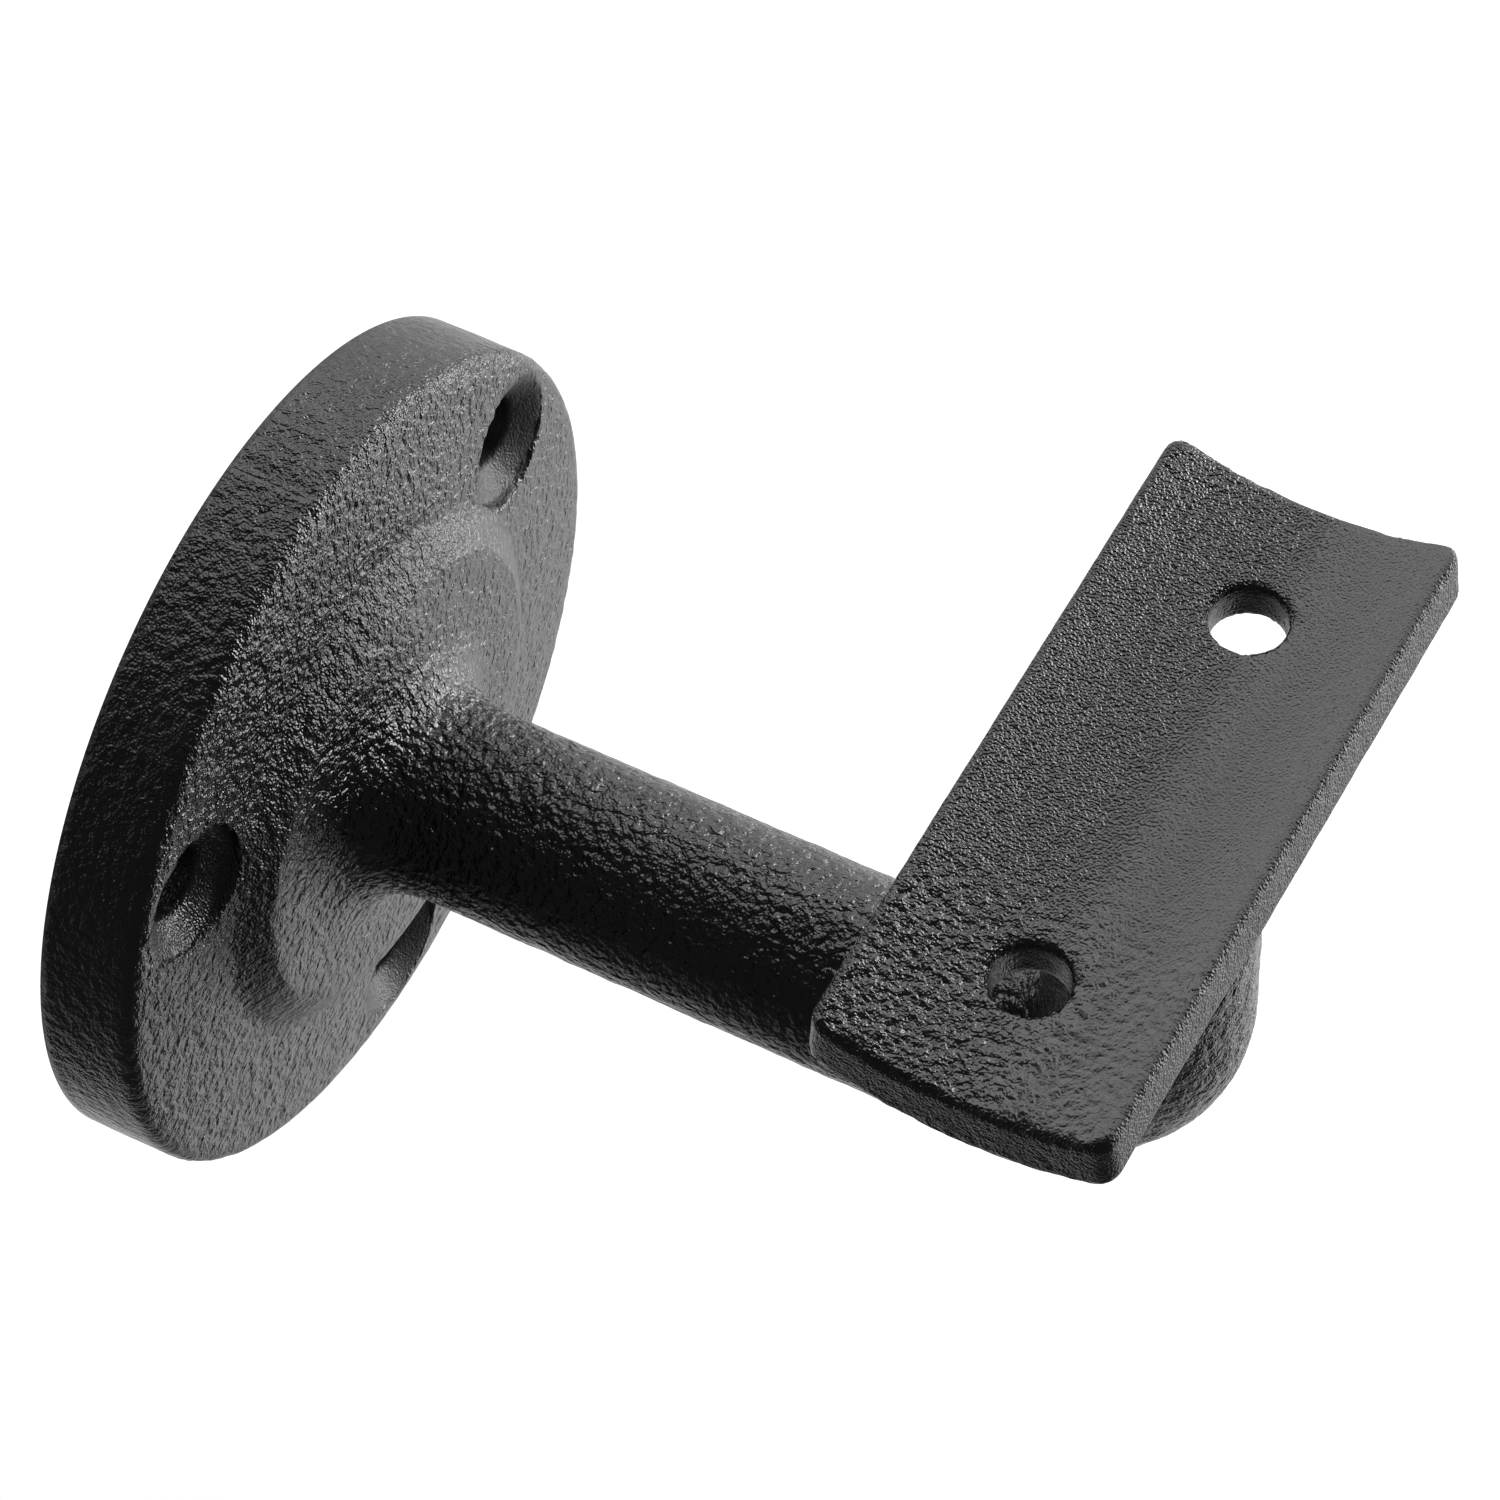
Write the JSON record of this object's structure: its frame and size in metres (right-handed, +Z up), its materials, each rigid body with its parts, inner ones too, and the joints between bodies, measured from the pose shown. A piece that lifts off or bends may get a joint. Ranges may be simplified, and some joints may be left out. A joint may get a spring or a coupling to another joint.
{
  "type": "handrail bracket",
  "caption": "Cast iron wall bracket for a round handrail: screw-on wall rose, upturned arm and hollowed saddle plate.",
  "frame": {"origin": "centre of the wall rose's back face, which lies against the wall", "axes": "-Y runs out from the wall along the arm, +X along the handrail, +Z up towards the handrail"},
  "size_m": [0.07, 0.0889, 0.0783],
  "materials": {
    "casting": "satin black over a rough sand-cast skin"
  },
  "bodies": {
    "root": {"bracket_casting": "casting"}
  },
  "joints": []
}
